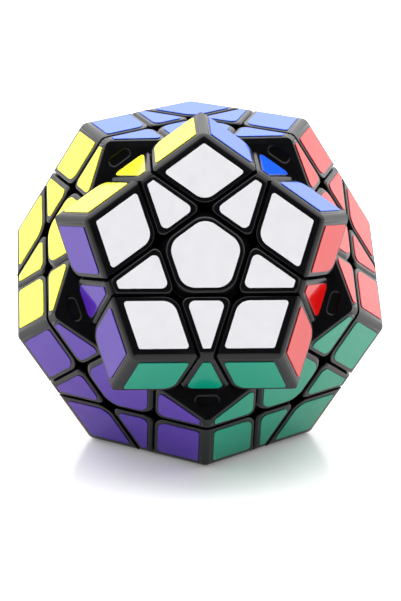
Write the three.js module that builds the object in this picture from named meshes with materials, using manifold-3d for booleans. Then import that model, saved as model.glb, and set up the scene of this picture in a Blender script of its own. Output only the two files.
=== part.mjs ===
// A face-turning dodecahedron puzzle: twelve centres screwed to a core, thirty edges and twenty corners.
// Every layer is cut free by one surface of revolution about its face axis, so each piece is the puzzle's
// blank kept inside the layers that it belongs to and cut away from the layers beside it.
// Millimetres, +Z up. The puzzle stands on its sky face, whose centre is the origin, and the white face
// looks towards -Y and leans back. The white layer is caught part way through a turn.

import * as THREE from "three";
import { mergeVertices } from "three/addons/utils/BufferGeometryUtils.js";
import Module from "manifold-3d";

// Driving dimensions.
const ACROSS_FLATS = 70;
const LAYER_DEPTH = 12.04; // from a face down to the flat that its layer turns on
const EDGE_CHAMFER = 0.45; // taken off each outer edge, square to the edge's own direction
const CLEARANCE = 0.36; // between any two neighbouring pieces
const NECK_ANGLE = 42.5; // half angle, from the face axis, of the cone that parts the necks
const NECK_BOTTOM = 27; // distance from the middle at which a neck starts to spread into its foot
const FOOT_ANGLE = 50.5; // from the face axis to the bottom edge of a foot
const FOOT_BOTTOM = 20.5; // distance from the middle to the flat under a foot
const WALL = 1.5; // of the hollow corners and edges
const STALK_BORE = 1.1; // opens a corner's hollow through its stalk, corner to middle of the square hole
const FOOT_BORE = 2; // and an edge's through its foot
const FRONT_TURN = 37; // degrees that the white layer has been turned clockwise
const LATHE_STEPS = 20; // a multiple of ten, so that every piece of a kind is the same

// Core and hardware.
const CORE_INRADIUS = 12;
const CORE_WALL = 2.4;
const POST_RADIUS = 3.4;
const POST_TOP = 16.9;
const POST_BORE = 1.5;
const STEM_BOTTOM = 17.3;
const WELL_FLOOR = 19.3; // the spring stands here
const WELL_RADIUS = 3.4;
const CUP_FLOOR = 26.6; // the well opens into the cup here
const CUP_RADIUS = 6.9;
const CAP_UNDERSIDE = 33.2;
const SCREW_HOLE = 1.75;
const SCREW_RADIUS = 1.35;
const SCREW_TIP = 11;
const SCREW_HEAD_BOTTOM = 25.8;
const SCREW_HEAD_TOP = 27.8;
const SCREW_HEAD_RADIUS = 3;
const SCREW_TAPER = 1.5; // length of the tapered end
const SCREW_TIP_RADIUS = 0.95;
const HEAD_BEVEL_HEIGHT = 0.7;
const HEAD_FLAT_RADIUS = 2.25;
const CROSS_LENGTH = 3.4;
const CROSS_WIDTH = 0.7;
const CROSS_DEPTH = 1;
const SPRING_RADIUS = 2.7; // to the middle of the wire
const WIRE_RADIUS = 0.3;
const SPRING_TURNS = 3.5;
const SPRING_PLAY = 0.1; // at each end of the spring

// What follows from them.
const INRADIUS = ACROSS_FLATS / 2;
const LAYER_HEIGHT = INRADIUS - LAYER_DEPTH; // from the middle to the turning flat
const FACE_TO_FACE = Math.atan(2); // between the directions of two adjacent faces
const EDGE_TO_FACE = FACE_TO_FACE / 2;
const EDGE_TO_END_FACE = Math.PI / 2 - EDGE_TO_FACE;
const CORNER_TO_FACE = Math.acos(Math.sqrt((5 + 2 * Math.sqrt(5)) / 15));
const MID_RADIUS = INRADIUS / Math.cos(EDGE_TO_FACE); // to the middle of a sharp outer edge
const FAR = 60; // outside the whole puzzle
const REACH = 25; // sideways from a piece's own axis, outside every piece
const CUT_THROUGH = 0.6; // how far a cutting tool runs past the surface that it opens

// Flats that stand for each full circle.
const ROD_SIDES = 12;
const BORE_SIDES = 10;
const POST_SIDES = 8;
const VENT_SIDES = 4;
const COIL_STEPS = 9;
const WIRE_STEPS = 3;

const radians = THREE.MathUtils.degToRad;
const manifold = await Module();
manifold.setup();

// ---- Solids ----

// A closed geometry as a solid that can be joined and cut.
function solidOf(geometry) {
  const bare = new THREE.BufferGeometry();
  bare.setAttribute("position", geometry.getAttribute("position"));
  bare.setIndex(geometry.index);
  const merged = mergeVertices(bare, 1e-4);
  const mesh = new manifold.Mesh({
    numProp: 3,
    vertProperties: new Float32Array(merged.attributes.position.array),
    triVerts: new Uint32Array(merged.index.array),
  });
  return new manifold.Manifold(mesh);
}

// A solid as a geometry that a mesh can show.
function geometryOf(solid) {
  const mesh = solid.getMesh();
  const positions = new Float32Array(mesh.vertProperties);
  const geometry = new THREE.BufferGeometry();
  geometry.setAttribute("position", new THREE.BufferAttribute(positions, 3));
  geometry.setIndex(new THREE.BufferAttribute(new Uint32Array(mesh.triVerts), 1));
  geometry.computeVertexNormals();
  return geometry;
}

const joined = (solids) => solids.reduce((all, solid) => all.add(solid));
const cutBy = (solid, tools) => tools.reduce((left, tool) => left.subtract(tool), solid);
const keptInside = (solid, tools) => tools.reduce((left, tool) => left.intersect(tool), solid);

// The direction at a polar angle from +Z and an azimuth from +X, both in radians.
function direction(polar, azimuth) {
  const reach = Math.sin(polar);
  return new THREE.Vector3(reach * Math.cos(azimuth), reach * Math.sin(azimuth), Math.cos(polar));
}

// The convex solid of every point with point . normal <= distance, for each [normal, distance].
function insidePlanes(planes) {
  const block = solidOf(new THREE.BoxGeometry(2 * REACH, 2 * REACH, 2 * FAR));
  return planes.reduce((left, [n, distance]) => left.trimByPlane([-n.x, -n.y, -n.z], -distance), block);
}

// A rod about +Z.
function rod(radius, bottom, top, sides = ROD_SIDES) {
  const geometry = new THREE.CylinderGeometry(radius, radius, top - bottom, sides);
  geometry.rotateX(Math.PI / 2);
  geometry.translate(0, 0, (bottom + top) / 2);
  return solidOf(geometry);
}

// ---- The surface that frees a layer ----

// Moves each inner point of a profile by `offset`, square to the two lines that meet there.
function offsetProfile(points, offset) {
  return points.map((point, i) => {
    if (i === 0 || i === points.length - 1) return point.clone();
    const before = point.clone().sub(points[i - 1]).normalize();
    const after = points[i + 1].clone().sub(point).normalize();
    const normalBefore = new THREE.Vector2(-before.y, before.x);
    const normalAfter = new THREE.Vector2(-after.y, after.x);
    const mitre = normalBefore.clone().add(normalAfter);
    return point.clone().addScaledVector(mitre, offset / (1 + normalBefore.dot(normalAfter)));
  });
}

// The space swept by one layer about `axis`, grown by `growth` on the side where its neighbours are.
// Its facets line up with `towards`, the direction of an adjacent face.
function layerSpace(axis, towards, growth) {
  const onCone = (radius, angle) => new THREE.Vector2(radius * Math.sin(angle), radius * Math.cos(angle));
  const neck = radians(NECK_ANGLE);
  const foot = radians(FOOT_ANGLE);
  const flatEdge = LAYER_HEIGHT / Math.cos(neck);
  const surface = offsetProfile(
    [
      onCone(0, foot),
      onCone(FOOT_BOTTOM, foot),
      onCone(NECK_BOTTOM, neck),
      onCone(flatEdge, neck),
      new THREE.Vector2(FAR, LAYER_HEIGHT),
    ],
    -growth,
  );
  const start = new THREE.Vector2(0, -growth / Math.sin(foot));
  const rim = new THREE.Vector2(FAR, LAYER_HEIGHT - growth);
  const profile = [start, ...surface.slice(1, -1), rim, new THREE.Vector2(FAR, FAR), new THREE.Vector2(0, FAR)];
  const geometry = new THREE.LatheGeometry(profile, LATHE_STEPS);
  const z = towards.clone().addScaledVector(axis, -towards.dot(axis)).normalize();
  const x = axis.clone().cross(z);
  geometry.applyMatrix4(new THREE.Matrix4().makeBasis(x, axis, z));
  return solidOf(geometry);
}

const insideLayer = (axis, towards) => layerSpace(axis, towards, -CLEARANCE / 2);
const besideLayer = (axis, towards) => layerSpace(axis, towards, CLEARANCE / 2);

// ---- The three kinds of piece, each with +Z pointing out of the puzzle ----

// A corner belongs to three layers, at azimuths 0, 120 and 240 degrees about its own axis.
function cornerSolid() {
  const faces = [0, 120, 240].map((azimuth) => direction(CORNER_TO_FACE, radians(azimuth)));
  const outerEdges = faces.map((n, i) => n.clone().add(faces[(i + 1) % 3]).normalize());
  const blank = insidePlanes([
    ...faces.map((n) => [n, INRADIUS]),
    ...outerEdges.map((n) => [n, MID_RADIUS - EDGE_CHAMFER]),
    [new THREE.Vector3(0, 0, -1), -FOOT_BOTTOM],
  ]);
  const layers = faces.map((n, i) => insideLayer(n, faces[(i + 1) % 3]));
  const hollow = insidePlanes(
    faces.flatMap((n) => [
      [n, INRADIUS - WALL],
      [n.clone().negate(), -(LAYER_HEIGHT + WALL)],
    ]),
  );
  const hollowBottom = (LAYER_HEIGHT + WALL) / Math.cos(CORNER_TO_FACE);
  const stalkBore = rod(STALK_BORE, FOOT_BOTTOM - CUT_THROUGH, hollowBottom + CUT_THROUGH, VENT_SIDES);
  return cutBy(keptInside(blank, layers), [hollow, stalkBore]);
}

// An edge belongs to two layers, at azimuths 0 and 180, and has a layer past each end, at 90 and 270.
function edgeSolid() {
  const faces = [0, 180].map((azimuth) => direction(EDGE_TO_FACE, radians(azimuth)));
  const ends = [90, 270].map((azimuth) => direction(EDGE_TO_END_FACE, radians(azimuth)));
  const up = new THREE.Vector3(0, 0, 1);
  const blank = insidePlanes([
    ...faces.map((n) => [n, INRADIUS]),
    [up, MID_RADIUS - EDGE_CHAMFER],
    [up.clone().negate(), -FOOT_BOTTOM],
  ]);
  const layers = faces.map((n, i) => insideLayer(n, faces[1 - i]));
  const besides = ends.map((n) => besideLayer(n, faces[0]));
  const hollow = insidePlanes([
    ...faces.map((n) => [n, INRADIUS - WALL]),
    ...faces.map((n) => [n.clone().negate(), -(LAYER_HEIGHT + WALL)]),
    ...ends.map((n) => [n, LAYER_HEIGHT - WALL]),
  ]);
  const hollowBottom = (LAYER_HEIGHT + WALL) / Math.cos(EDGE_TO_FACE);
  const footBore = rod(FOOT_BORE, FOOT_BOTTOM - CUT_THROUGH, hollowBottom + CUT_THROUGH, VENT_SIDES);
  return cutBy(keptInside(blank, layers), [...besides, hollow, footBore]);
}

// A centre has five layers around it, from azimuth 0. The cap closes the cup over the screw.
function centreShell() {
  const around = [0, 72, 144, 216, 288].map((azimuth) => direction(FACE_TO_FACE, radians(azimuth)));
  const up = new THREE.Vector3(0, 0, 1);
  const blank = insidePlanes([
    [up, INRADIUS],
    [up.clone().negate(), -STEM_BOTTOM],
  ]);
  const besides = around.map((n) => besideLayer(n, up));
  return cutBy(blank, [...besides, rod(CUP_RADIUS, CUP_FLOOR, CAP_UNDERSIDE, BORE_SIDES)]);
}

// The hole that the screw runs through, with the well that holds its spring and head.
function screwWell() {
  const hole = rod(SCREW_HOLE, STEM_BOTTOM - CUT_THROUGH, WELL_FLOOR + CUT_THROUGH, BORE_SIDES);
  return hole.add(rod(WELL_RADIUS, WELL_FLOOR, CUP_FLOOR + CUT_THROUGH, BORE_SIDES));
}

// ---- Core and hardware ----

// A screw about +Z, with a cross recess in its head.
function screwSolid() {
  const profile = [
    [0, SCREW_TIP],
    [SCREW_TIP_RADIUS, SCREW_TIP],
    [SCREW_RADIUS, SCREW_TIP + SCREW_TAPER],
    [SCREW_RADIUS, SCREW_HEAD_BOTTOM],
    [SCREW_HEAD_RADIUS, SCREW_HEAD_BOTTOM],
    [SCREW_HEAD_RADIUS, SCREW_HEAD_TOP - HEAD_BEVEL_HEIGHT],
    [HEAD_FLAT_RADIUS, SCREW_HEAD_TOP],
    [0, SCREW_HEAD_TOP],
  ].map(([radius, height]) => new THREE.Vector2(radius, height));
  const body = new THREE.LatheGeometry(profile, ROD_SIDES);
  body.rotateX(Math.PI / 2);
  const slots = [0, Math.PI / 2].map((turn) => {
    const slot = new THREE.BoxGeometry(CROSS_LENGTH, CROSS_WIDTH, 2 * CROSS_DEPTH);
    slot.rotateZ(turn);
    slot.translate(0, 0, SCREW_HEAD_TOP);
    return solidOf(slot);
  });
  return cutBy(solidOf(body), slots);
}

// A coil spring about +Z, between the floor of the well and the head of the screw.
function springGeometry() {
  const bottom = WELL_FLOOR + WIRE_RADIUS + SPRING_PLAY;
  const top = SCREW_HEAD_BOTTOM - WIRE_RADIUS - SPRING_PLAY;
  const steps = Math.round(SPRING_TURNS * COIL_STEPS);
  const path = new THREE.CatmullRomCurve3(
    Array.from({ length: steps + 1 }, (_, i) => {
      const turn = (2 * Math.PI * i) / COIL_STEPS;
      const height = bottom + ((top - bottom) * i) / steps;
      return new THREE.Vector3(SPRING_RADIUS * Math.cos(turn), SPRING_RADIUS * Math.sin(turn), height);
    }),
  );
  const section = new THREE.Shape().absarc(0, 0, WIRE_RADIUS, 0, 2 * Math.PI);
  return new THREE.ExtrudeGeometry(section, { steps, curveSegments: WIRE_STEPS, extrudePath: path });
}

// The hollow core. A moving centre has a bored post of its own for its screw. A centre whose layer doesn't
// turn in this model stays on the core, and a vent takes the place of its screw hole.
function coreSolid(movingPlacements, fixedPlacements) {
  const placed = (solid, placements) => placements.map((matrix) => solid.transform(matrix.elements));
  const everyPlacement = [...movingPlacements, ...fixedPlacements];
  const faces = everyPlacement.map((matrix) => new THREE.Vector3().setFromMatrixColumn(matrix, 2));
  const insideOf = CORE_INRADIUS - CORE_WALL;
  const post = rod(POST_RADIUS, insideOf + CORE_WALL / 2, POST_TOP, POST_SIDES);
  const longPost = rod(POST_RADIUS, insideOf + CORE_WALL / 2, STEM_BOTTOM + CUT_THROUGH, POST_SIDES);
  const bore = rod(POST_BORE, insideOf - CORE_WALL, POST_TOP + CUT_THROUGH, POST_SIDES);
  const vent = rod(POST_BORE, insideOf - CORE_WALL, CUP_FLOOR + CUT_THROUGH, VENT_SIDES);
  const body = joined([
    insidePlanes(faces.map((n) => [n, CORE_INRADIUS])),
    ...placed(post, movingPlacements),
    ...placed(longPost, fixedPlacements),
    ...placed(centreShell(), fixedPlacements),
  ]);
  const hollow = insidePlanes(faces.map((n) => [n, insideOf]));
  return cutBy(body, [hollow, ...placed(bore, movingPlacements), ...placed(vent, fixedPlacements)]);
}

// ---- Where everything goes ----

const UPPER_RING = FACE_TO_FACE;
const LOWER_RING = Math.PI - FACE_TO_FACE;
const FACES = {
  blue: direction(0, 0),
  white: direction(UPPER_RING, radians(-90)),
  red: direction(UPPER_RING, radians(-18)),
  pink: direction(UPPER_RING, radians(54)),
  lime: direction(UPPER_RING, radians(126)),
  yellow: direction(UPPER_RING, radians(198)),
  green: direction(LOWER_RING, radians(-54)),
  cream: direction(LOWER_RING, radians(18)),
  grey: direction(LOWER_RING, radians(90)),
  orange: direction(LOWER_RING, radians(162)),
  purple: direction(LOWER_RING, radians(234)),
  sky: direction(Math.PI, 0),
};
const COLOURS = Object.keys(FACES);
const TURNING = ["white", "cream", "orange"]; // no two of these layers share a piece
const adjacent = (a, b) => a !== b && FACES[a].dot(FACES[b]) > 0.1;

// The placement of a piece whose +Z points along `outward` and whose +X leans towards `towards`.
function placement(outward, towards) {
  const z = outward.clone().normalize();
  const x = towards.clone().addScaledVector(z, -towards.dot(z)).normalize();
  return new THREE.Matrix4().makeBasis(x, z.clone().cross(x), z);
}

// The pieces of one kind, as lists of the colours that each shows.
function combinations(count) {
  const grow = (chosen) => {
    if (chosen.length === count) return [chosen];
    const later = COLOURS.slice(COLOURS.indexOf(chosen.at(-1)) + 1);
    return later.filter((c) => chosen.every((d) => adjacent(c, d))).flatMap((c) => grow([...chosen, c]));
  };
  return grow([]);
}

const black = new THREE.MeshStandardMaterial({ color: 0x141415, roughness: 0.42, metalness: 0 });
const coreBlack = new THREE.MeshStandardMaterial({ color: 0x1c1c1e, roughness: 0.55, metalness: 0 });
const steel = new THREE.MeshStandardMaterial({ color: 0xb9bcc0, roughness: 0.35, metalness: 1 });

const puzzle = new THREE.Group();
puzzle.position.z = INRADIUS; // the sky face lies on z = 0
const core = new THREE.Group();
puzzle.add(core);
const layers = {};
for (const colour of TURNING) {
  layers[colour] = new THREE.Group();
  puzzle.add(layers[colour]);
}
layers.white.setRotationFromAxisAngle(FACES.white, -radians(FRONT_TURN));

// Adds a mesh to the layer that turns it, or to the core.
function addPiece(name, geometry, material, matrix, colours) {
  const mesh = new THREE.Mesh(geometry, material);
  mesh.name = name;
  mesh.applyMatrix4(matrix);
  const turning = colours.find((colour) => TURNING.includes(colour));
  (turning ? layers[turning] : core).add(mesh);
}

const centrePlacements = {};
for (const colour of COLOURS) {
  const neighbour = COLOURS.find((other) => adjacent(colour, other));
  centrePlacements[colour] = placement(FACES[colour], FACES[neighbour]);
}

const movingPlacements = TURNING.map((colour) => centrePlacements[colour]);
const fixedPlacements = Object.values(centrePlacements).filter((matrix) => !movingPlacements.includes(matrix));
const coreGeometry = geometryOf(coreSolid(movingPlacements, fixedPlacements));
const centreGeometry = geometryOf(centreShell().subtract(screwWell()));
const screwGeometry = geometryOf(screwSolid());
const coilGeometry = springGeometry();
const edgeGeometry = geometryOf(edgeSolid());
const cornerGeometry = geometryOf(cornerSolid());

addPiece("core_with_fixed_centres", coreGeometry, coreBlack, new THREE.Matrix4(), []);
for (const colour of TURNING) {
  addPiece(`centre_${colour}`, centreGeometry, black, centrePlacements[colour], [colour]);
  addPiece(`screw_${colour}`, screwGeometry, steel, centrePlacements[colour], []);
  addPiece(`spring_${colour}`, coilGeometry, steel, centrePlacements[colour], []);
}
for (const colours of combinations(2)) {
  const outward = FACES[colours[0]].clone().add(FACES[colours[1]]);
  const matrix = placement(outward, FACES[colours[0]]);
  addPiece(`edge_${colours.join("_")}`, edgeGeometry, black, matrix, colours);
}
for (const colours of combinations(3)) {
  const outward = colours.reduce((sum, colour) => sum.add(FACES[colour]), new THREE.Vector3());
  const matrix = placement(outward, FACES[colours[0]]);
  addPiece(`corner_${colours.join("_")}`, cornerGeometry, black, matrix, colours);
}

export default puzzle;
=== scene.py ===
"""Looks for the dodecahedron puzzle: rounded plastic pieces, glossy stickers, and the hardware inside.

Shapes are worked out in millimetres about the middle of the puzzle. A mesh is made in metres, and its
placement moves it up to the CAD's frame, whose origin is the middle of the face that the puzzle stands on.
"""

import math
from collections import namedtuple
from itertools import combinations

import bmesh
import bpy
from mathutils import Matrix, Vector


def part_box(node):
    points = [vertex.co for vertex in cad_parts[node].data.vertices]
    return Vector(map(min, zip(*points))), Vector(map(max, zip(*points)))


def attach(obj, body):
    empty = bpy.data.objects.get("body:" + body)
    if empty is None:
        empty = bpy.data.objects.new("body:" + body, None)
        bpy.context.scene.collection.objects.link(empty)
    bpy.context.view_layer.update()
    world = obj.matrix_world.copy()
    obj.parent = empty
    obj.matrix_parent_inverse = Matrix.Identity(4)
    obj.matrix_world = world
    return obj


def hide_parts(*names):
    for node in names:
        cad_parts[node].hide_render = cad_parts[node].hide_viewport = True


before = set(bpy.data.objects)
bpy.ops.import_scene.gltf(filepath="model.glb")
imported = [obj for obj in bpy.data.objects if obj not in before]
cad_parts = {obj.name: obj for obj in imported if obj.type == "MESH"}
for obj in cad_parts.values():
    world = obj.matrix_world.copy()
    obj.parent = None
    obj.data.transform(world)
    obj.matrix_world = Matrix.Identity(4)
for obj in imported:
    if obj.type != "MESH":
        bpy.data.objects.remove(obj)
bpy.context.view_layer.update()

# ---- Sizes, in millimetres and degrees ----

MM = 0.001
CORE_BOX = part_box("core_with_fixed_centres")
INRADIUS = (CORE_BOX[1].z - CORE_BOX[0].z) / 2 / MM
LAYER_HEIGHT = 22.96  # from the middle to the flat that a layer turns on
GAP = 0.36  # between neighbouring pieces
FRONT_TURN = 37  # of the white layer, clockwise
STICKER = 0.2  # thickness
OUTER_MARGIN = 2.0  # from a sticker to the sharp outer edge of its face
CUT_MARGIN = 1.33  # and to the cuts around its piece
CENTRE_MARGIN = 1.45  # the same for a centre
RIM_INSET = 0.34  # of the slope along a cut, from the cut to the sticker's side of it
CENTRE_RIM_INSET = 0.52
RIM_SLOPE = 52  # of that slope from its face
UNDERCUT_RIM_INSET = 0.18  # the same where the wall below leans back under the face
UNDERCUT_RIM_SLOPE = 75
HEAD_BOTTOM = 29.3  # where a centre's head narrows to its stem
CAP_SEAM = 33.0  # between a centre and its cap
NECK_ANGLE = 42.5  # half angle, from the face axis, of the cone that parts the necks
NECK_BOTTOM = 27.0  # distance from the middle at which a neck starts to spread into its foot
FOOT_ANGLE = 50.5  # from the face axis to the bottom edge of a foot
FOOT_BOTTOM = 20.5  # distance from the middle to the flat under a foot
STEM_BOTTOM = 17.3  # and under a centre
CORNER_FOOT_TOP = 30.2  # where a corner's foot narrows to the rod that carries its head
CORNER_ROD_BOTTOM = 28.0
CORNER_ROD_TOP = 33.5
CORNER_ROD_RADIUS = 2.2
EDGE_FOOT_TOP = 28.4  # where an edge's foot ends, inside its head
CORNER_BORE = 0.75  # radius of the blind hole under a foot
EDGE_BORE = 1.4
BORE_ROOF = 1.0  # left above it
FOOT_SETBACK = GAP / 2 + 0.003  # half of the gap, and a hair more, to keep clear of the head's own walls
FAR = 60  # outside the whole puzzle
REACH = 25  # sideways from a piece's own axis, outside every piece
PAST = 1.0  # how far a cutter runs out of what it cuts
OVERLAP = 0.05  # between two solids that are joined
BORE_OVERLAP = 0.1  # between a bore and the next one
TIP_RADIUS = 0.01  # of the blunt tip of a layer's space
LAYER_STEPS = 80
OUTER_ROUNDING = 1.25  # from a sharp edge to where its rounding starts, between two faces
FACE_ROUNDING = 0.5  # around a face
SEAM_ROUNDING = 0.15  # around a centre, below its cap
CORNER_WALL_ROUNDING = 2.5  # between two walls of a corner
EDGE_WALL_ROUNDING = 1.9
CENTRE_WALL_ROUNDING = 2.9
FINE_SEGMENTS = 5
WALL_SEGMENTS = 6
CENTRE_WALL_SEGMENTS = 8
RECESS_RADIUS = 29.5  # from the axis of the layer that turns over it to the middle of an end wall's recess
RECESS_LENGTH = 5.0
RECESS_WIDTH = 1.95
RECESS_STEPS = 32
# How far out of a recess's outline, and how high above its wall, each ring of the shape cut from it lies.
RECESS_LIP = ((0.3, 0.5), (0.3, 0.0), (0.19, -0.02), (0.09, -0.09), (0.02, -0.19), (0.0, -0.3), (-0.2, -0.42))
# How far in from a sticker's outline, and how high above its face, each ring of it lies.
STICKER_RIM = ((0.0, -STICKER), (0.0, -0.07), (0.03, -0.02), (0.10, 0.0))
STICKER_FINENESS = 4  # steps per radian of a rounding with a radius of 1
FEWEST_STEPS = 3  # in a sticker's rounding
LEAST_RADIUS = 0.05
SMOOTH_WITHIN = 40  # faces that meet at less than this blend into each other
FLAT_AREA = 10  # square mm; a face larger than this stays flat to its edges

# Core and hardware, along the axis of a face from the middle.
CORE_INRADIUS = 12
CORE_WALL = 2.4
POST_RADIUS = 3.4
POST_TOP = 16.9
POST_BORE = 1.5
BORE_LEAD = 0.25  # half of the height and the width of the slope around the mouth of that bore
# How far out of a post's side, and how high above the core's face, each ring of its root lies.
POST_ROOT = ((0.8, -CORE_WALL / 2), (0.8, -0.1), (0.25, 0.3), (0, 1))
CHAMFER = 0.3  # of a post and of a cap's plug
SCREW_HOLE = 1.75
WELL_FLOOR = 19.3
WELL_RADIUS = 3.4
CUP_FLOOR = 26.6
CUP_RADIUS = 6.9
PLUG_BOTTOM = 31.4
PLUG_RADIUS = 6.7
PLUG_WALL = 1.1
PLUG_ROOT = 0.3  # how far the plug runs into its cap
SEAM_GAP = 0.04  # under the cap
SCREW_TIP = 11.0
SCREW_RADIUS = 1.35
THREAD_TOP = 18.0
THREAD_PITCH = 0.85
THREAD_DEPTH = 0.3
THREAD_ROWS = 8  # rings of points in a turn of the thread
THREAD_SHARPNESS = 2.6  # the ridge falls away over 1 / this of the pitch, on each side
TIP_SHARE = 0.5  # radius of the screw's end, as a share of its shank's
TAPER_START = 0.62  # the same just above its end
TAPER_RATE = 0.2  # by how much that share grows in a millimetre
HEAD_UNDERSIDE = 25.8
SCREW_HEAD_TOP = 27.8
SCREW_HEAD_RADIUS = 3.0
SCREW_HEAD_CHAMFER = 0.15
DOME_BOTTOM = HEAD_UNDERSIDE + 0.9
DOME_INSET = 1.2  # how far the dome would draw in if it ran on to 90 degrees
DOME_SWEEP = 80
DOME_STEPS = 7
CROSS_LENGTH = 3.4
CROSS_WIDTH = 0.7
# Height of each level of the cross, and its size there as a share of the full one.
CROSS_LEVELS = ((SCREW_HEAD_TOP - 1.0, 0.7), (SCREW_HEAD_TOP + 0.2, 1.05))
WASHER_THICKNESS = 0.4
WASHER_RADIUS = 3.1
WASHER_CHAMFER = 0.1
WASHER_PLAY = 0.25  # around the screw
WASHER_GAP = 0.02  # under the screw's head
WIRE_RADIUS = 0.3
SPRING_RADIUS = 2.7
SPRING_TURNS = 6.5
CLOSED_TURNS = 1.25  # at each end of the spring, where its coils lie against each other
CLOSED_PITCH = 2.05 * WIRE_RADIUS  # of those coils
COIL_STEPS = 28  # in a turn of the spring
WIRE_STEPS = 12
ROUND_STEPS = 48

# Worked out from those, in millimetres and radians.
FACE_TO_FACE = math.atan(2)
EDGE_TO_FACE = FACE_TO_FACE / 2
EDGE_TO_END_FACE = math.pi / 2 - EDGE_TO_FACE
CORNER_TO_FACE = math.acos(math.sqrt((5 + 2 * math.sqrt(5)) / 15))
FACE_APOTHEM = INRADIUS * math.tan(EDGE_TO_FACE)
CUT_APOTHEM = (LAYER_HEIGHT - INRADIUS * math.cos(FACE_TO_FACE)) / math.sin(FACE_TO_FACE)
PLASTIC = INRADIUS - STICKER
MIDDLE = Vector((0, 0, INRADIUS * MM))  # of the puzzle, in metres


def directions(polar, *azimuths):
    """The directions at a polar angle from +Z, in radians, and each azimuth from +X, in degrees."""
    reach, height = math.sin(polar), math.cos(polar)
    turns = [math.radians(azimuth) for azimuth in azimuths]
    return [Vector((reach * math.cos(turn), reach * math.sin(turn), height)) for turn in turns]


# The faces around each kind of piece, in the piece's own frame, whose +Z points out through its middle.
UP = Vector((0, 0, 1))
CORNER_FACES = directions(CORNER_TO_FACE, 0, 120, 240)
EDGE_FACES = directions(EDGE_TO_FACE, 0, 180)
EDGE_END_FACES = directions(EDGE_TO_END_FACE, 90, 270)
AROUND_CENTRE = directions(FACE_TO_FACE, 0, 72, 144, 216, 288)

# The puzzle's faces: one on top, five around the upper half, five around the lower half, one underneath.
UPPER = {"white": -90, "red": -18, "pink": 54, "lime": 126, "yellow": 198}
LOWER = {"green": -54, "cream": 18, "grey": 90, "orange": 162, "purple": 234}
FACES = {
    "blue": UP,
    **dict(zip(UPPER, directions(FACE_TO_FACE, *UPPER.values()))),
    **dict(zip(LOWER, directions(math.pi - FACE_TO_FACE, *LOWER.values()))),
    "sky": Vector((0, 0, -1)),
}
TURNING = ("white", "cream", "orange")


def adjacent(a, b):
    return a != b and FACES[a].dot(FACES[b]) > 0


# ---- Meshes ----

LEAST_DETERMINANT = 1e-6  # of three planes that meet in one point
ON_PLANE = 1e-4
SAME_POINT = 1e-3
SAME_PLANE = 0.5  # degrees
SAME_NORMAL = 0.99999  # cosine
PARALLEL = 0.9  # cosine

# What a plane of a piece is: its kind, and which of the piece's faces and walls it belongs to.
Role = namedtuple("Role", "kind face wall")
ROUNDING = Role("rounding", None, None)


def hull_of(planes):
    """The convex solid of every point with normal . point <= distance, for each (normal, distance)."""
    corners = []
    for trio in combinations(planes, 3):
        matrix = Matrix([normal for normal, _ in trio])
        if abs(matrix.determinant()) < LEAST_DETERMINANT:
            continue
        point = matrix.inverted() @ Vector([distance for _, distance in trio])
        inside = all(normal.dot(point) <= distance + ON_PLANE for normal, distance in planes)
        if inside and all((point - other).length > SAME_POINT for other in corners):
            corners.append(point)
    solid = bmesh.new()
    for point in corners:
        solid.verts.new(point)
    bmesh.ops.convex_hull(solid, input=solid.verts)
    flat = math.radians(SAME_PLANE)
    bmesh.ops.dissolve_limit(solid, angle_limit=flat, verts=solid.verts, edges=solid.edges)
    solid.normal_update()
    return solid


def round_edges(solid, roles, chosen, offset, segments):
    """Rounds each edge between two faces whose roles pass `chosen`, starting `offset` from the edge."""

    def role(face):
        return next((role for normal, role in roles if normal.dot(face.normal) > SAME_NORMAL), ROUNDING)

    edges = [edge for edge in solid.edges if chosen(*(role(face) for face in edge.link_faces))]
    bmesh.ops.bevel(
        solid,
        geom=edges,
        offset=offset,
        offset_type="OFFSET",
        affect="EDGES",
        segments=segments,
        profile=0.5,  # an arc
        clamp_overlap=True,
    )
    solid.normal_update()


def finished_mesh(name, solid, material):
    """A mesh in metres from a solid in millimetres. Its large flat faces stay flat, and its roundings run
    smoothly into them: each corner of a face leans towards the largest of the faces that it blends with."""
    solid.normal_update()
    areas = {face: face.calc_area() for face in solid.faces}
    blend = math.cos(math.radians(SMOOTH_WITHIN))
    normals = []
    for face in solid.faces:
        face.smooth = True
        for corner in face.loops:
            normal = face.normal
            if areas[face] < FLAT_AREA:
                around = [other for other in corner.vert.link_faces if other.normal.dot(face.normal) > blend]
                normal = sum((other.normal * areas[other] ** 2 for other in around), Vector()).normalized()
            normals.append(normal.copy())
    bmesh.ops.scale(solid, vec=(MM, MM, MM), verts=solid.verts)
    mesh = bpy.data.meshes.new(name)
    solid.to_mesh(mesh)
    solid.free()
    mesh.normals_split_custom_set(normals)
    mesh.materials.append(material)
    return mesh


def skinned(rings, closed=False):
    """A solid whose skin joins each ring of points to the next, and the last ring to the first if `closed`.
    If not, those two are filled in."""
    solid = bmesh.new()
    loops = [[solid.verts.new(point) for point in ring] for ring in rings]
    for low, high in zip(loops, loops[1:] + (loops[:1] if closed else [])):
        for i in range(len(low)):
            j = (i + 1) % len(low)
            solid.faces.new((low[i], low[j], high[j], high[i]))
    if not closed:
        solid.faces.new(loops[-1])
        solid.faces.new(list(reversed(loops[0])))
    bmesh.ops.recalc_face_normals(solid, faces=solid.faces)
    return solid


def circle(radius, height, steps=ROUND_STEPS):
    turns = (2 * math.pi * i / steps for i in range(steps))
    return [Vector((radius * math.cos(t), radius * math.sin(t), height)) for t in turns]


def lathe(profile, closed=False, steps=ROUND_STEPS):
    """A solid of revolution about Z, from (radius, height) pairs."""
    return skinned([circle(radius, height, steps) for radius, height in profile], closed)


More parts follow.
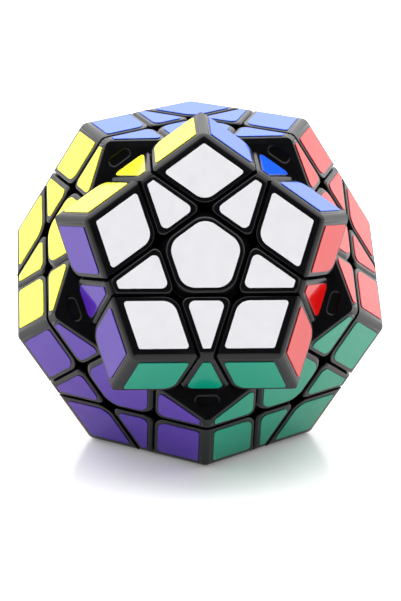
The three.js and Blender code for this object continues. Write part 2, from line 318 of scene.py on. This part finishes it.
def combined(operation, solid, other):
    """The union, difference or intersection of two solids."""
    objects = []
    for part in (solid, other):
        mesh = bpy.data.meshes.new("part")
        part.to_mesh(mesh)
        part.free()
        objects.append(bpy.data.objects.new("part", mesh))
        bpy.context.scene.collection.objects.link(objects[-1])
    boolean = objects[0].modifiers.new("boolean", "BOOLEAN")
    boolean.operation = operation
    boolean.solver = "EXACT"
    boolean.object = objects[1]
    result = bmesh.new()
    result.from_object(objects[0], bpy.context.evaluated_depsgraph_get())
    for part in objects:
        bpy.data.objects.remove(part)
    bmesh.ops.remove_doubles(result, verts=result.verts, dist=SAME_POINT)
    result.normal_update()
    return result


def joined(solid, *others):
    for other in others:
        solid = combined("UNION", solid, other)
    return solid


def carved(solid, *cutters):
    for cutter in cutters:
        solid = combined("DIFFERENCE", solid, cutter)
    return solid


def kept_inside(solid, *others):
    for other in others:
        solid = combined("INTERSECT", solid, other)
    return solid


# ---- Placement ----


def placement(outward, towards, colours=()):
    """The place of a piece whose +Z points along `outward` and whose +X leans towards `towards`, with the
    turn of the white layer if the piece is in it."""
    z = outward.normalized()
    x = (towards - z * towards.dot(z)).normalized()
    turned = Matrix((x, z.cross(x), z)).transposed().to_4x4()
    if "white" in colours:
        turned = Matrix.Rotation(-math.radians(FRONT_TURN), 4, FACES["white"]) @ turned
    return Matrix.Translation(MIDDLE) @ turned


def body_of(colours):
    """The CAD body that a piece showing these colours rides on."""
    turning = [colour for colour in colours if colour in TURNING]
    return f"{turning[0]}_layer" if turning else "core"


def add_piece(name, mesh, matrix, body, stands_for=()):
    """A piece made of its own copy of a mesh. Its place is in its vertices, as a CAD node's is."""
    placed = mesh.copy()
    placed.name = name
    placed.transform(matrix)
    piece = bpy.data.objects.new(name, placed)
    bpy.context.scene.collection.objects.link(piece)
    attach(piece, body)
    if stands_for:
        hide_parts(*stands_for)
    return piece


# ---- Materials ----

# What most of a noise's values lie between.
NOISE_LOW, NOISE_HIGH = 0.3, 0.7


class Nodes:
    """A material's node tree, with short ways to add and join nodes."""

    def __init__(self, name):
        self.material = bpy.data.materials.new(name)
        self.material.use_nodes = True
        self.tree = self.material.node_tree
        self.shader = self.tree.nodes["Principled BSDF"]
        # Each piece has its own part of a texture, so that no two of a kind are alike.
        coordinates = self.tree.nodes.new("ShaderNodeTexCoord")
        info = self.tree.nodes.new("ShaderNodeObjectInfo")
        shift = self.tree.nodes.new("ShaderNodeVectorMath")
        shift.operation = "ADD"
        self.join(coordinates.outputs["Object"], shift.inputs[0])
        self.join(info.outputs["Random"], shift.inputs[1])
        self.where = shift.outputs[0]

    def join(self, source, target):
        self.tree.links.new(source, target)

    def noise(self, size_mm, detail=3.0, roughness=0.5, stretch=(1, 1, 1)):
        """Noise whose features are about `size_mm` across."""
        mapping = self.tree.nodes.new("ShaderNodeMapping")
        mapping.inputs["Scale"].default_value = stretch
        self.join(self.where, mapping.inputs["Vector"])
        noise = self.tree.nodes.new("ShaderNodeTexNoise")
        noise.inputs["Scale"].default_value = 1 / (size_mm * MM)
        noise.inputs["Detail"].default_value = detail
        noise.inputs["Roughness"].default_value = roughness
        self.join(mapping.outputs["Vector"], noise.inputs["Vector"])
        return noise.outputs["Fac"]

    def between(self, factor, low, high):
        """A number that runs from `low` to `high` with a noise."""
        span = self.tree.nodes.new("ShaderNodeMapRange")
        values = (NOISE_LOW, NOISE_HIGH, low, high)
        for socket, value in zip(("From Min", "From Max", "To Min", "To Max"), values):
            span.inputs[socket].default_value = value
        self.join(factor, span.inputs["Value"])
        return span.outputs["Result"]

    def colours(self, factor, low, high):
        """A colour that runs from `low` to `high` with a noise."""
        ramp = self.tree.nodes.new("ShaderNodeValToRGB")
        ends = zip(ramp.color_ramp.elements, (NOISE_LOW, NOISE_HIGH), (low, high))
        for element, position, colour in ends:
            element.position = position
            element.color = (*colour, 1)
        self.join(factor, ramp.inputs["Fac"])
        return ramp.outputs["Color"]

    def bump(self, height, depth_mm, below=None):
        """Relief of a depth, on top of the relief `below` if there is any."""
        bump = self.tree.nodes.new("ShaderNodeBump")
        bump.inputs["Distance"].default_value = depth_mm * MM
        self.join(height, bump.inputs["Height"])
        if below:
            self.join(below, bump.inputs["Normal"])
        return bump.outputs["Normal"]


def black_plastic(name, low, high, roughness):
    """Moulded plastic: faint mottling, an uneven sheen and a fine-grained skin."""
    nodes = Nodes(name)
    shader = nodes.shader
    nodes.join(nodes.colours(nodes.noise(size_mm=4.0), low, high), shader.inputs["Base Color"])
    sheen = nodes.between(nodes.noise(size_mm=2.5, detail=5), roughness - 0.06, roughness + 0.08)
    nodes.join(sheen, shader.inputs["Roughness"])
    shader.inputs["IOR"].default_value = 1.34
    grain = nodes.bump(nodes.noise(size_mm=0.25, detail=2), depth_mm=0.004)
    skin = nodes.bump(nodes.noise(size_mm=3.5), depth_mm=0.03, below=grain)
    nodes.join(skin, shader.inputs["Normal"])
    return nodes.material


def vinyl(name, colour):
    """A glossy sticker: a hint of unevenness in its ink, finger-smudged gloss and a slight orange peel."""
    nodes = Nodes(name)
    shader = nodes.shader
    low = tuple(0.975 * channel for channel in colour)
    high = tuple(min(1.0, 1.015 * channel) for channel in colour)
    nodes.join(nodes.colours(nodes.noise(size_mm=3.0, detail=4), low, high), shader.inputs["Base Color"])
    gloss = nodes.between(nodes.noise(size_mm=5.0, detail=5, roughness=0.6), 0.05, 0.13)
    nodes.join(gloss, shader.inputs["Roughness"])
    shader.inputs["IOR"].default_value = 1.39
    peel = nodes.bump(nodes.noise(size_mm=0.9, detail=1), depth_mm=0.0015)
    waves = nodes.bump(nodes.noise(size_mm=6.0, detail=1), depth_mm=0.01, below=peel)
    nodes.join(waves, shader.inputs["Normal"])
    return nodes.material


def steel(name):
    """Plated steel with fine turning marks."""
    nodes = Nodes(name)
    shader = nodes.shader
    shader.inputs["Metallic"].default_value = 1.0
    marks = nodes.noise(size_mm=0.3, detail=4, stretch=(1, 1, 6))
    nodes.join(nodes.colours(marks, (0.50, 0.51, 0.53), (0.66, 0.67, 0.68)), shader.inputs["Base Color"])
    nodes.join(nodes.between(marks, 0.22, 0.38), shader.inputs["Roughness"])
    nodes.join(nodes.bump(marks, depth_mm=0.01), shader.inputs["Normal"])
    return nodes.material


STICKER_COLOURS = {
    "white": (0.82, 0.815, 0.845),
    "grey": (0.36, 0.37, 0.39),
    "red": (0.55, 0.004, 0.004),
    "orange": (0.93, 0.24, 0.02),
    "yellow": (0.98, 0.93, 0.045),
    "cream": (0.86, 0.72, 0.36),
    "green": (0.001, 0.255, 0.158),
    "lime": (0.18, 0.58, 0.03),
    "blue": (0.014, 0.105, 0.75),
    "sky": (0.09, 0.45, 0.80),
    "purple": (0.065, 0.017, 0.305),
    "pink": (0.80, 0.14, 0.34),
}
PLASTIC_BLACK = black_plastic("black_plastic", (0.0025, 0.0025, 0.0033), (0.0045, 0.0045, 0.0055), 0.14)
CORE_BLACK = black_plastic("core_plastic", (0.012, 0.012, 0.013), (0.022, 0.022, 0.024), 0.5)
STEEL = steel("steel")
VINYL = {colour: vinyl(f"sticker_{colour}", rgb) for colour, rgb in STICKER_COLOURS.items()}

# ---- Pieces ----


def layer_space(axis, growth):
    """The space that a layer sweeps about `axis`, grown by `growth` on the side where its neighbours are."""
    foot, neck = math.radians(FOOT_ANGLE), math.radians(NECK_ANGLE)
    side = [
        Vector((0, 0)),
        FOOT_BOTTOM * Vector((math.sin(foot), math.cos(foot))),
        NECK_BOTTOM * Vector((math.sin(neck), math.cos(neck))),
        LAYER_HEIGHT * Vector((math.tan(neck), 1)),
        Vector((FAR, LAYER_HEIGHT)),
    ]
    profile = [(TIP_RADIUS, -growth / math.sin(foot))]
    for before, point, after in zip(side, side[1:], side[2:]):
        normals = [Vector((-step.y, step.x)).normalized() for step in (point - before, after - point)]
        moved = point - (normals[0] + normals[1]) * growth / (1 + normals[0].dot(normals[1]))
        profile.append(tuple(moved))
    profile += [(FAR, LAYER_HEIGHT - growth), (FAR, FAR)]
    space = lathe(profile, steps=LAYER_STEPS)
    space.transform(axis.to_track_quat("Z", "Y").to_matrix().to_4x4())
    return space


def block(*levels):
    """A solid through rectangles, each of them given as (half length, half width, height)."""
    square = ((-1, -1), (1, -1), (1, 1), (-1, 1))
    return skinned([[(x * length, y * width, height) for x, y in square] for length, width, height in levels])


def slab(bottom, top):
    return block((REACH, REACH, bottom), (REACH, REACH, top))


def cylinder(radius, bottom, top):
    return lathe([(radius, bottom), (radius, top)])


def rim_plane(face, wall, distance, inset):
    """The slope that runs along a wall's cut through a face. It starts `inset` in from the cut, unless the
    wall leans back under the face."""
    across = (wall - face * wall.dot(face)).normalized()
    rim = face * PLASTIC + across * ((distance - PLASTIC * wall.dot(face)) / wall.dot(across))
    undercut = wall.dot(face) < 0
    slope = math.radians(UNDERCUT_RIM_SLOPE if undercut else RIM_SLOPE)
    inset = UNDERCUT_RIM_INSET if undercut else inset
    normal = face * math.cos(slope) + across * math.sin(slope)
    return normal, normal.dot(rim - across * inset)


def head_of(faces, walls, others, inset=RIM_INSET):
    """The convex solid inside a piece's faces, walls and other planes, with a slope wherever a wall cuts a
    face. The wall of a face's own layer is parallel to it and doesn't. Also gives the planes' roles."""
    planes = [(face, PLASTIC) for face in faces] + walls + others
    roles = [(face, Role("face", i, None)) for i, face in enumerate(faces)]
    roles += [(wall, Role("wall", None, j)) for j, (wall, _) in enumerate(walls)]
    for i, face in enumerate(faces):
        for j, (wall, distance) in enumerate(walls):
            if abs(face.dot(wall)) < PARALLEL:
                planes.append(rim_plane(face, wall, distance, inset))
                roles.append((planes[-1][0], Role("rim", i, j)))
    return hull_of(planes), roles


# Which edges are rounded alike, from the roles of the two faces that meet there.


def between_walls(a, b):
    return None not in (a.wall, b.wall) and a.wall != b.wall


def outer_edge(a, b):
    return a.kind == b.kind and a.kind in ("face", "rim") and a.wall == b.wall


def around_face(a, b):
    return (a.kind == "face") != (b.kind == "face")


def corner_head():
    """A corner belongs to three layers, whose walls are the ones behind its faces."""
    solid, roles = head_of(CORNER_FACES, [(-n, -(LAYER_HEIGHT + GAP / 2)) for n in CORNER_FACES], [])
    round_edges(solid, roles, between_walls, CORNER_WALL_ROUNDING, WALL_SEGMENTS)
    round_edges(solid, roles, outer_edge, OUTER_ROUNDING, FINE_SEGMENTS)
    round_edges(solid, roles, around_face, FACE_ROUNDING, FINE_SEGMENTS)
    return solid


def corner_foot():
    """A corner's dovetail, and the rod that joins it to its head, whose rounded tip ends above it."""
    spaces = [layer_space(n, -FOOT_SETBACK) for n in CORNER_FACES]
    foot = kept_inside(slab(FOOT_BOTTOM, CORNER_FOOT_TOP), *spaces)
    foot = joined(foot, cylinder(CORNER_ROD_RADIUS, CORNER_ROD_BOTTOM, CORNER_ROD_TOP))
    return carved(foot, cylinder(CORNER_BORE, FOOT_BOTTOM - PAST, CORNER_FOOT_TOP - BORE_ROOF))


def wall_recess(end):
    """What is cut out of an edge's end wall, whose normal is `end`: a shallow oblong with a soft mouth."""
    outward = (UP - end * UP.dot(end)).normalized()
    along = outward.cross(end)
    middle = end * (LAYER_HEIGHT - GAP / 2) + outward * RECESS_RADIUS
    rings = []
    for outset, height in RECESS_LIP:
        radius = RECESS_WIDTH / 2 + outset
        ring = []
        for i in range(RECESS_STEPS):
            turn = 2 * math.pi * (i + 0.5) / RECESS_STEPS
            side = math.copysign((RECESS_LENGTH - RECESS_WIDTH) / 2, math.cos(turn))
            across = along * (side + radius * math.cos(turn)) + outward * radius * math.sin(turn)
            ring.append(middle + across + end * height)
        rings.append(ring)
    return skinned(rings)


def edge_head():
    """An edge belongs to two layers and lies between two others, whose walls are its end walls. Below its
    faces the necks of those two layers lean in, and clip it."""
    inner = [(-n, -(LAYER_HEIGHT + GAP / 2)) for n in EDGE_FACES]
    ends = [(n, LAYER_HEIGHT - GAP / 2) for n in EDGE_END_FACES]
    lean = EDGE_TO_END_FACE - math.radians(NECK_ANGLE)
    clips = [(n, -GAP / 2) for n in directions(math.pi / 2 + lean, 90, 270)]
    solid, roles = head_of(EDGE_FACES, inner + ends, clips)

    def beside_an_end(a, b):
        return between_walls(a, b) and (a.wall < len(inner)) != (b.wall < len(inner))

    round_edges(solid, roles, beside_an_end, EDGE_WALL_ROUNDING, WALL_SEGMENTS)
    round_edges(solid, roles, outer_edge, OUTER_ROUNDING, FINE_SEGMENTS)
    round_edges(solid, roles, around_face, FACE_ROUNDING, FINE_SEGMENTS)
    return carved(solid, *(wall_recess(end) for end in EDGE_END_FACES))


def edge_foot():
    spaces = [layer_space(n, -FOOT_SETBACK) for n in EDGE_FACES]
    foot = kept_inside(slab(FOOT_BOTTOM, EDGE_FOOT_TOP), *spaces)
    foot = carved(foot, *(layer_space(n, FOOT_SETBACK) for n in EDGE_END_FACES))
    return carved(foot, cylinder(EDGE_BORE, FOOT_BOTTOM - PAST, EDGE_FOOT_TOP - BORE_ROOF))


def centre_head(bottom, top, rounding):
    """The part of a centre between two heights, with this rounding around its top."""
    walls = [(n, LAYER_HEIGHT - GAP / 2) for n in AROUND_CENTRE]
    solid, roles = head_of([UP], walls, [(UP, top), (-UP, -bottom)], CENTRE_RIM_INSET)
    round_edges(solid, roles, between_walls, CENTRE_WALL_ROUNDING, CENTRE_WALL_SEGMENTS)
    round_edges(solid, roles, around_face, rounding, FINE_SEGMENTS)
    return solid


def centre_body():
    """A centre without its cap. The screw runs in a hole, its spring and head sit in a well, and the cup
    above lets a screwdriver in."""
    head = centre_head(HEAD_BOTTOM - OVERLAP, CAP_SEAM, SEAM_ROUNDING)
    stem = carved(slab(STEM_BOTTOM, HEAD_BOTTOM), *(layer_space(n, FOOT_SETBACK) for n in AROUND_CENTRE))
    bores = [
        cylinder(SCREW_HOLE, POST_TOP, WELL_FLOOR + BORE_OVERLAP),
        cylinder(WELL_RADIUS, WELL_FLOOR, CUP_FLOOR + BORE_OVERLAP),
        cylinder(CUP_RADIUS, CUP_FLOOR, CAP_SEAM + BORE_OVERLAP),
    ]
    return carved(joined(head, stem), *bores)


def centre_cap():
    """A cap with the ring that plugs it into the cup."""
    seam = CAP_SEAM + SEAM_GAP
    inner = PLUG_RADIUS - PLUG_WALL
    plug = [
        (inner, seam + PLUG_ROOT),
        (inner, PLUG_BOTTOM),
        (PLUG_RADIUS - CHAMFER, PLUG_BOTTOM),
        (PLUG_RADIUS, PLUG_BOTTOM + CHAMFER),
        (PLUG_RADIUS, seam + PLUG_ROOT),
    ]
    return joined(centre_head(seam, PLASTIC, FACE_ROUNDING), lathe(plug, closed=True))


# ---- Core and hardware, along +Z ----


def around_core(profile):
    """Twelve solids of revolution, one along the axis of every face."""
    all_twelve = bmesh.new()
    for outward in FACES.values():
        single = lathe(profile)
        single.transform(outward.to_track_quat("Z", "Y").to_matrix().to_4x4())
        mesh = bpy.data.meshes.new("single")
        single.to_mesh(mesh)
        single.free()
        all_twelve.from_mesh(mesh)
        bpy.data.meshes.remove(mesh)
    return all_twelve


def core_spider():
    """A hollow dodecahedron with a bored post on each face."""
    inside = CORE_INRADIUS - CORE_WALL
    shell = hull_of([(n, CORE_INRADIUS) for n in FACES.values()])
    hollow = hull_of([(n, inside) for n in FACES.values()])
    root = [(POST_RADIUS + outset, CORE_INRADIUS + height) for outset, height in POST_ROOT]
    posts = around_core([*root, (POST_RADIUS, POST_TOP - CHAMFER), (POST_RADIUS - CHAMFER, POST_TOP)])
    mouth = [(POST_BORE, POST_TOP - BORE_LEAD), (POST_BORE + 2 * BORE_LEAD, POST_TOP + BORE_LEAD)]
    bores = around_core([(POST_BORE, inside - CORE_WALL), *mouth])
    return carved(joined(shell, posts), hollow, bores)


def thread_ring(height):
    """The screw's outline at a height in its thread, which is one ridge that winds along the shank."""
    taper = min(1.0, TAPER_START + (height - SCREW_TIP) * TAPER_RATE)
    fade = min(1.0, (THREAD_TOP - height) / THREAD_PITCH)
    ring = []
    for i in range(ROUND_STEPS):
        turn = i / ROUND_STEPS
        phase = (turn - height / THREAD_PITCH) % 1
        ridge = max(0.0, 1 - THREAD_SHARPNESS * min(phase, 1 - phase))
        radius = (SCREW_RADIUS - THREAD_DEPTH * (1 - ridge) * fade) * taper
        angle = 2 * math.pi * turn
        ring.append(Vector((radius * math.cos(angle), radius * math.sin(angle), height)))
    return ring


def screw_head_rings():
    rings = [
        circle(SCREW_HEAD_RADIUS - SCREW_HEAD_CHAMFER, HEAD_UNDERSIDE),
        circle(SCREW_HEAD_RADIUS, HEAD_UNDERSIDE + SCREW_HEAD_CHAMFER),
    ]
    for step in range(DOME_STEPS + 1):
        angle = math.radians(DOME_SWEEP) * step / DOME_STEPS
        rise = (SCREW_HEAD_TOP - DOME_BOTTOM) * math.sin(angle) / math.sin(math.radians(DOME_SWEEP))
        rings.append(circle(SCREW_HEAD_RADIUS - DOME_INSET * (1 - math.cos(angle)), DOME_BOTTOM + rise))
    return rings


def screw():
    """A pan-head screw with a cross recess."""
    threaded = THREAD_TOP - SCREW_TIP
    rows = round(threaded / THREAD_PITCH * THREAD_ROWS)
    rings = [circle(TIP_SHARE * SCREW_RADIUS, SCREW_TIP)]
    rings += [thread_ring(SCREW_TIP + threaded * row / rows) for row in range(1, rows + 1)]
    rings += [circle(SCREW_RADIUS, HEAD_UNDERSIDE), *screw_head_rings()]
    slots = [
        block(*((length * share / 2, width * share / 2, height) for height, share in CROSS_LEVELS))
        for length, width in ((CROSS_LENGTH, CROSS_WIDTH), (CROSS_WIDTH, CROSS_LENGTH))
    ]
    return carved(skinned(rings), *slots)


def washer():
    inner = SCREW_RADIUS + WASHER_PLAY
    bottom = HEAD_UNDERSIDE - WASHER_THICKNESS
    top = HEAD_UNDERSIDE - WASHER_GAP
    profile = [
        (inner, bottom),
        (WASHER_RADIUS - WASHER_CHAMFER, bottom),
        (WASHER_RADIUS, bottom + WASHER_CHAMFER),
        (WASHER_RADIUS, top),
        (inner, top),
    ]
    return lathe(profile, closed=True)


def spring():
    """A coil spring between the floor of the well and the washer."""
    bottom = WELL_FLOOR + WIRE_RADIUS
    top = HEAD_UNDERSIDE - WASHER_THICKNESS - WIRE_RADIUS
    open_rise = top - bottom - 2 * CLOSED_TURNS * CLOSED_PITCH
    open_turns = SPRING_TURNS - 2 * CLOSED_TURNS
    path = []
    for step in range(round(SPRING_TURNS * COIL_STEPS) + 1):
        turns = step / COIL_STEPS
        into_open = min(max(turns - CLOSED_TURNS, 0), open_turns)
        height = bottom + (turns - into_open) * CLOSED_PITCH + open_rise * into_open / open_turns
        angle = 2 * math.pi * turns
        path.append(Vector((SPRING_RADIUS * math.cos(angle), SPRING_RADIUS * math.sin(angle), height)))
    rings = []
    for i, point in enumerate(path):
        ahead = (path[min(i + 1, len(path) - 1)] - path[max(i - 1, 0)]).normalized()
        outward = Vector((point.x, point.y, 0)).normalized()
        side = ahead.cross(outward)
        turns = (2 * math.pi * k / WIRE_STEPS for k in range(WIRE_STEPS))
        rings.append([point + (outward * math.cos(t) + side * math.sin(t)) * WIRE_RADIUS for t in turns])
    return skinned(rings)


# ---- Stickers ----


def meeting(line_a, line_b):
    """Where two lines of the form normal . point = distance meet in a plane."""
    (ax, ay, ad), (bx, by, bd) = line_a, line_b
    scale = ax * by - ay * bx
    return Vector(((ad * by - ay * bd) / scale, (ax * bd - ad * bx) / scale))


def rounded_outline(lines, radii, inset):
    """The outline that lies `inset` inside every (normal x, normal y, distance) line, in order around it.
    The corner between a line and the next one has the matching radius."""
    outline = []
    moved = [(x, y, distance - inset) for x, y, distance in lines]
    for one, two, full_radius in zip(moved, moved[1:] + moved[:1], radii):
        radius = max(full_radius - inset, LEAST_RADIUS)
        middle = meeting((*one[:2], one[2] - radius), (*two[:2], two[2] - radius))
        start = math.atan2(one[1], one[0])
        sweep = (math.atan2(two[1], two[0]) - start) % (2 * math.pi)
        steps = max(FEWEST_STEPS, round(sweep * STICKER_FINENESS * math.sqrt(full_radius)))
        for k in range(steps + 1):
            angle = start + sweep * k / steps
            outline.append(middle + radius * Vector((math.cos(angle), math.sin(angle))))
    return outline


def sticker(name, lines, radii, material):
    """A thin plate with a softened rim. Its top is on the outside of the puzzle."""
    rings = []
    for inset, height in STICKER_RIM:
        outline = rounded_outline(lines, radii, inset)
        rings.append([(*point, INRADIUS + height) for point in outline])
    return finished_mesh(name, skinned(rings), material)


def line(azimuth, distance):
    """A line across an azimuth, in degrees, at a distance from the sticker's origin."""
    angle = math.radians(azimuth)
    return (math.cos(angle), math.sin(angle), distance)


# Each shape's lines in order around it, from the middle of its face, and its corners' radii.
INSIDE_CUT = CUT_APOTHEM - CUT_MARGIN
INSIDE_CENTRE = CUT_APOTHEM - CENTRE_MARGIN
OUTSIDE_CUT = CUT_APOTHEM + CUT_MARGIN
INSIDE_EDGE = FACE_APOTHEM - OUTER_MARGIN
STICKER_SHAPES = {
    "centre": ([line(a, INSIDE_CENTRE) for a in (0, 72, 144, 216, 288)], [3.6] * 5),
    "edge": (
        [line(0, INSIDE_EDGE), line(72, INSIDE_CUT), line(180, -OUTSIDE_CUT), line(-72, INSIDE_CUT)],
        [0.35, 1.2, 1.2, 0.35],
    ),
    "corner": (
        [line(-36, INSIDE_EDGE), line(36, INSIDE_EDGE), line(144, -OUTSIDE_CUT), line(216, -OUTSIDE_CUT)],
        [0.45, 0.6, 3.2, 0.6],
    ),
}

# ---- Putting it together ----


def shared_placement(colours):
    """The place of a piece between faces. Its +X leans towards the first of them."""
    return placement(sum((FACES[colour] for colour in colours), Vector()), FACES[colours[0]], colours)


corner_mesh = finished_mesh("corner", joined(corner_head(), corner_foot()), PLASTIC_BLACK)
edge_mesh = finished_mesh("edge", joined(edge_head(), edge_foot()), PLASTIC_BLACK)
centre_mesh = finished_mesh("centre", centre_body(), PLASTIC_BLACK)
cap_mesh = finished_mesh("cap", centre_cap(), PLASTIC_BLACK)
core_mesh = finished_mesh("core", core_spider(), CORE_BLACK)
hardware_meshes = {
    "screw": finished_mesh("screw", screw(), STEEL),
    "washer": finished_mesh("washer", washer(), STEEL),
    "spring": finished_mesh("spring", spring(), STEEL),
}
sticker_meshes = {
    (kind, colour): sticker(f"sticker_{kind}_{colour}", lines, radii, VINYL[colour])
    for kind, (lines, radii) in STICKER_SHAPES.items()
    for colour in FACES
}


def add_sticker(kind, colour, neighbours, colours):
    """The sticker on one face of a piece that shows `colours`. It points to the neighbouring faces."""
    towards = sum((FACES[neighbour] for neighbour in neighbours), Vector())
    matrix = placement(FACES[colour], towards, colours)
    name = "_".join(["sticker", kind, colour, *[n for n in neighbours if kind != "centre"]])
    add_piece(name, sticker_meshes[kind, colour], matrix, body_of(colours))


add_piece("core", core_mesh, Matrix.Translation(MIDDLE), "core", ["core_with_fixed_centres"])
colour_names = list(FACES)
for colour in colour_names:
    neighbour = next(other for other in colour_names if adjacent(colour, other))
    matrix = placement(FACES[colour], FACES[neighbour], [colour])
    body = body_of([colour])
    node = f"centre_{colour}" if colour in TURNING else "core_with_fixed_centres"
    add_piece(f"centre_body_{colour}", centre_mesh, matrix, body, [node])
    add_piece(f"centre_cap_{colour}", cap_mesh, matrix, body)
    add_sticker("centre", colour, [neighbour], [colour])
    for kind, mesh in hardware_meshes.items():
        stands_for = [node for node in [f"{kind}_{colour}"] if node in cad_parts]
        fixed = placement(FACES[colour], FACES[neighbour])
        add_piece(f"{kind}_{colour}_detailed", mesh, fixed, "core", stands_for)
for pair in combinations(colour_names, 2):
    if not adjacent(*pair):
        continue
    name = "edge_" + "_".join(pair)
    add_piece(name + "_body", edge_mesh, shared_placement(pair), body_of(pair), [name])
    for colour in pair:
        add_sticker("edge", colour, [other for other in pair if other != colour], pair)
for trio in combinations(colour_names, 3):
    if not all(adjacent(a, b) for a, b in combinations(trio, 2)):
        continue
    name = "corner_" + "_".join(trio)
    add_piece(name + "_body", corner_mesh, shared_placement(trio), body_of(trio), [name])
    for colour in trio:
        add_sticker("corner", colour, [other for other in trio if other != colour], trio)

# ---- The stage: a pale floor, soft light all round and less of it from in front ----

HORIZON = 1.7  # brightness of the sky there
OVERHEAD = 2.8  # and what is added to it straight above
DIM = 0.03  # share of it that is left around the way that the white face looks
DIM_INSIDE = 40  # degrees from that way
DIM_OUTSIDE = 68
FLOOR_REACH = 3.0  # metres, from its middle to its sides
FLOOR_GLOW = 0.15
CAMERA_AZIMUTH = -3.26  # degrees from -Y
CAMERA_ELEVATION = 19.2
CAMERA_ROLL = -0.32
CAMERA_DISTANCE = 541.9  # from the middle of the puzzle
CAMERA_ASIDE = 0.65
CAMERA_ABOVE = -4.88
CAMERA_LENS = 143.95


def add_floor():
    floor = bmesh.new()
    bmesh.ops.create_grid(floor, x_segments=1, y_segments=1, size=FLOOR_REACH)
    mesh = bpy.data.meshes.new("floor")
    floor.to_mesh(mesh)
    floor.free()
    nodes = Nodes("floor")
    shader = nodes.shader
    paint = nodes.colours(nodes.noise(size_mm=40), (0.89, 0.89, 0.895), (0.905, 0.905, 0.91))
    nodes.join(paint, shader.inputs["Base Color"])
    nodes.join(nodes.between(nodes.noise(size_mm=150), 0.19, 0.21), shader.inputs["Roughness"])
    shader.inputs["Emission Color"].default_value = (1, 1, 1, 1)
    shader.inputs["Emission Strength"].default_value = FLOOR_GLOW
    mesh.materials.append(nodes.material)
    floor = bpy.data.objects.new("floor", mesh)
    bpy.context.scene.collection.objects.link(floor)


def add_sky():
    """Light from all round, most of it from overhead, and dim around the way that the white face looks."""
    world = bpy.data.worlds.new("studio")
    bpy.context.scene.world = world
    world.use_nodes = True
    tree = world.node_tree
    background = tree.nodes["Background"]
    background.inputs["Color"].default_value = (1, 1, 1, 1)
    coordinates = tree.nodes.new("ShaderNodeTexCoord").outputs["Generated"]

    def math_node(operation, *values):
        """A node that works on numbers and on other nodes' outputs."""
        node = tree.nodes.new("ShaderNodeMath")
        node.operation = operation
        for socket, value in zip(node.inputs, values):
            if isinstance(value, (int, float)):
                socket.default_value = value
            else:
                tree.links.new(value, socket)
        return node.outputs["Value"]

    parts = tree.nodes.new("ShaderNodeSeparateXYZ")
    tree.links.new(coordinates, parts.inputs[0])
    height = parts.outputs["Z"]
    overhead = math_node("MULTIPLY_ADD", math_node("MULTIPLY", height, height), OVERHEAD, HORIZON)
    front = tree.nodes.new("ShaderNodeVectorMath")
    front.operation = "DOT_PRODUCT"
    front.inputs[1].default_value = FACES["white"]
    tree.links.new(coordinates, front.inputs[0])
    dimming = tree.nodes.new("ShaderNodeMapRange")
    dimming.interpolation_type = "SMOOTHSTEP"
    span = (math.cos(math.radians(DIM_OUTSIDE)), math.cos(math.radians(DIM_INSIDE)), 1.0, DIM)
    for socket, number in zip(("From Min", "From Max", "To Min", "To Max"), span):
        dimming.inputs[socket].default_value = number
    tree.links.new(front.outputs["Value"], dimming.inputs["Value"])
    strength = math_node("MULTIPLY", overhead, dimming.outputs["Result"])
    tree.links.new(strength, background.inputs["Strength"])


def add_camera():
    azimuth, elevation = math.radians(CAMERA_AZIMUTH), math.radians(CAMERA_ELEVATION)
    roll = math.radians(CAMERA_ROLL)
    level = Vector((math.cos(azimuth), math.sin(azimuth), 0))
    back = UP * math.sin(elevation) + UP.cross(-level) * math.cos(elevation)
    upright = back.cross(level)
    right = math.cos(roll) * level + math.sin(roll) * upright
    up = -math.sin(roll) * level + math.cos(roll) * upright
    data = bpy.data.cameras.new("camera")
    data.lens = CAMERA_LENS
    camera = bpy.data.objects.new("camera", data)
    bpy.context.scene.collection.objects.link(camera)
    turned = Matrix((right, up, back)).transposed().to_4x4()
    place = (back * CAMERA_DISTANCE + right * CAMERA_ASIDE + up * CAMERA_ABOVE) * MM + MIDDLE
    camera.matrix_world = Matrix.Translation(place) @ turned
    bpy.context.scene.camera = camera


add_floor()
add_sky()
add_camera()
bpy.context.scene.view_settings.view_transform = "Standard"

bpy.context.view_layer.update()
